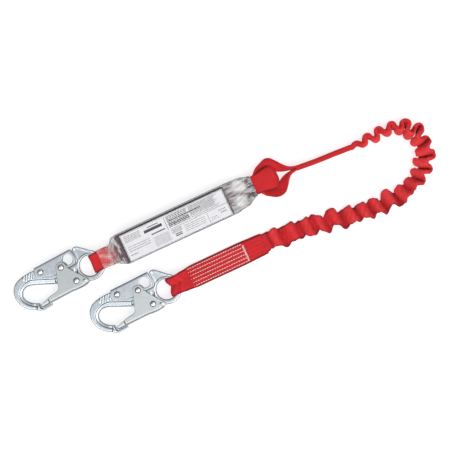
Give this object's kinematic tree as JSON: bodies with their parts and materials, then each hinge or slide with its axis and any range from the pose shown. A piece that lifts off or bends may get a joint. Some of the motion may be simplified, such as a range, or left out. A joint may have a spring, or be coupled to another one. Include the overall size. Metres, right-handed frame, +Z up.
{
  "type": "shock absorbing lanyard",
  "caption": "Lanyard with a locking snap hook at each end, a sleeved tear-webbing energy absorber and a crinkled elastic web leg choked onto it; hook gates open with their lock levers.",
  "frame": {"origin": "middle of the flat underside of the energy absorber pack, on the surface that the lanyard lies on", "axes": "+X along the pack from hook 1 towards the leg, +Z up out of the surface, the leg returns on the -Y side"},
  "size_m": [0.5919, 0.1343, 0.027],
  "materials": {
    "forged_zinc": "bright zinc plate over forged steel",
    "gate_zinc": "satin zinc plate on folded sheet",
    "lever_zinc": "satin zinc plate on folded sheet",
    "rivet_steel": "polished domed heads",
    "spring_steel": "bright wire",
    "clear_film": "wrinkled clear shrink film",
    "label_paper": "matt white print",
    "tear_web": "woven polyester",
    "red_web": "woven polyester",
    "elastic_black": "covered elastic",
    "white_thread": "bonded polyester thread"
  },
  "bodies": {
    "lanyard": {"pack_sleeve": "clear_film", "pack_label": "label_paper", "tear_webbing": "tear_web", "backup_webbing": "tear_web", "hook_end_loop": "red_web", "leg_end_loop": "red_web", "choke_loop": "red_web", "leg_edge_web": "red_web", "stretch_web_outer": "red_web", "stretch_web_return": "red_web", "elastic_core": "elastic_black", "terminal_web": "red_web", "terminal_stitching": "white_thread"},
    "hook_1": {"hook_1_body": "forged_zinc", "hook_1_lever_rivet": "rivet_steel", "hook_1_gate_rivet": "rivet_steel"},
    "hook_1_gate": {"hook_1_gate": "gate_zinc", "hook_1_lock_pin": "rivet_steel", "hook_1_gate_spring": "spring_steel"},
    "hook_1_lock": {"hook_1_lock_lever": "lever_zinc", "hook_1_lever_spring": "spring_steel"},
    "hook_2": {"hook_2_body": "forged_zinc", "hook_2_lever_rivet": "rivet_steel", "hook_2_gate_rivet": "rivet_steel"},
    "hook_2_gate": {"hook_2_gate": "gate_zinc", "hook_2_lock_pin": "rivet_steel", "hook_2_gate_spring": "spring_steel"},
    "hook_2_lock": {"hook_2_lock_lever": "lever_zinc", "hook_2_lever_spring": "spring_steel"}
  },
  "joints": [
    {"name": "hook_1_swing", "type": "hinge", "parent": "lanyard", "child": "hook_1", "pos_m": [-0.105, 0, 0.0125], "axis": [0, 1, 0], "range_deg": [-90, 90], "deforming": ["hook_end_loop"]},
    {"name": "hook_1_gate_open", "type": "hinge", "parent": "hook_1", "child": "hook_1_gate", "pos_m": [-0.15059, -0.01213, 0.0125], "axis": [0, 0, -1], "range_deg": [0, 22], "stiffness_Nm_per_rad": 0.2, "springref_deg": -20.05},
    {"name": "hook_1_lock_press", "type": "hinge", "parent": "hook_1", "child": "hook_1_lock", "pos_m": [-0.18987, 0.01849, 0.0125], "axis": [0, 0, -1], "range_deg": [0, 8], "stiffness_Nm_per_rad": 0.15, "springref_deg": -17.19},
    {"name": "hook_2_swing", "type": "hinge", "parent": "lanyard", "child": "hook_2", "pos_m": [-0.0254, -0.0724, 0.0125], "axis": [0, 1, 0], "range_deg": [-90, 90], "deforming": ["terminal_web"]},
    {"name": "hook_2_gate_open", "type": "hinge", "parent": "hook_2", "child": "hook_2_gate", "pos_m": [-0.0713, -0.08322, 0.0125], "axis": [0, 0, -1], "range_deg": [0, 22], "stiffness_Nm_per_rad": 0.2, "springref_deg": -20.05},
    {"name": "hook_2_lock_press", "type": "hinge", "parent": "hook_2", "child": "hook_2_lock", "pos_m": [-0.10966, -0.05144, 0.0125], "axis": [0, 0, -1], "range_deg": [0, 8], "stiffness_Nm_per_rad": 0.15, "springref_deg": -17.19}
  ],
  "couplings": [
    {"joint": "hook_1_lock_press", "follows": "hook_1_gate_open", "ratio": 0.36},
    {"joint": "hook_2_lock_press", "follows": "hook_2_gate_open", "ratio": 0.36}
  ]
}
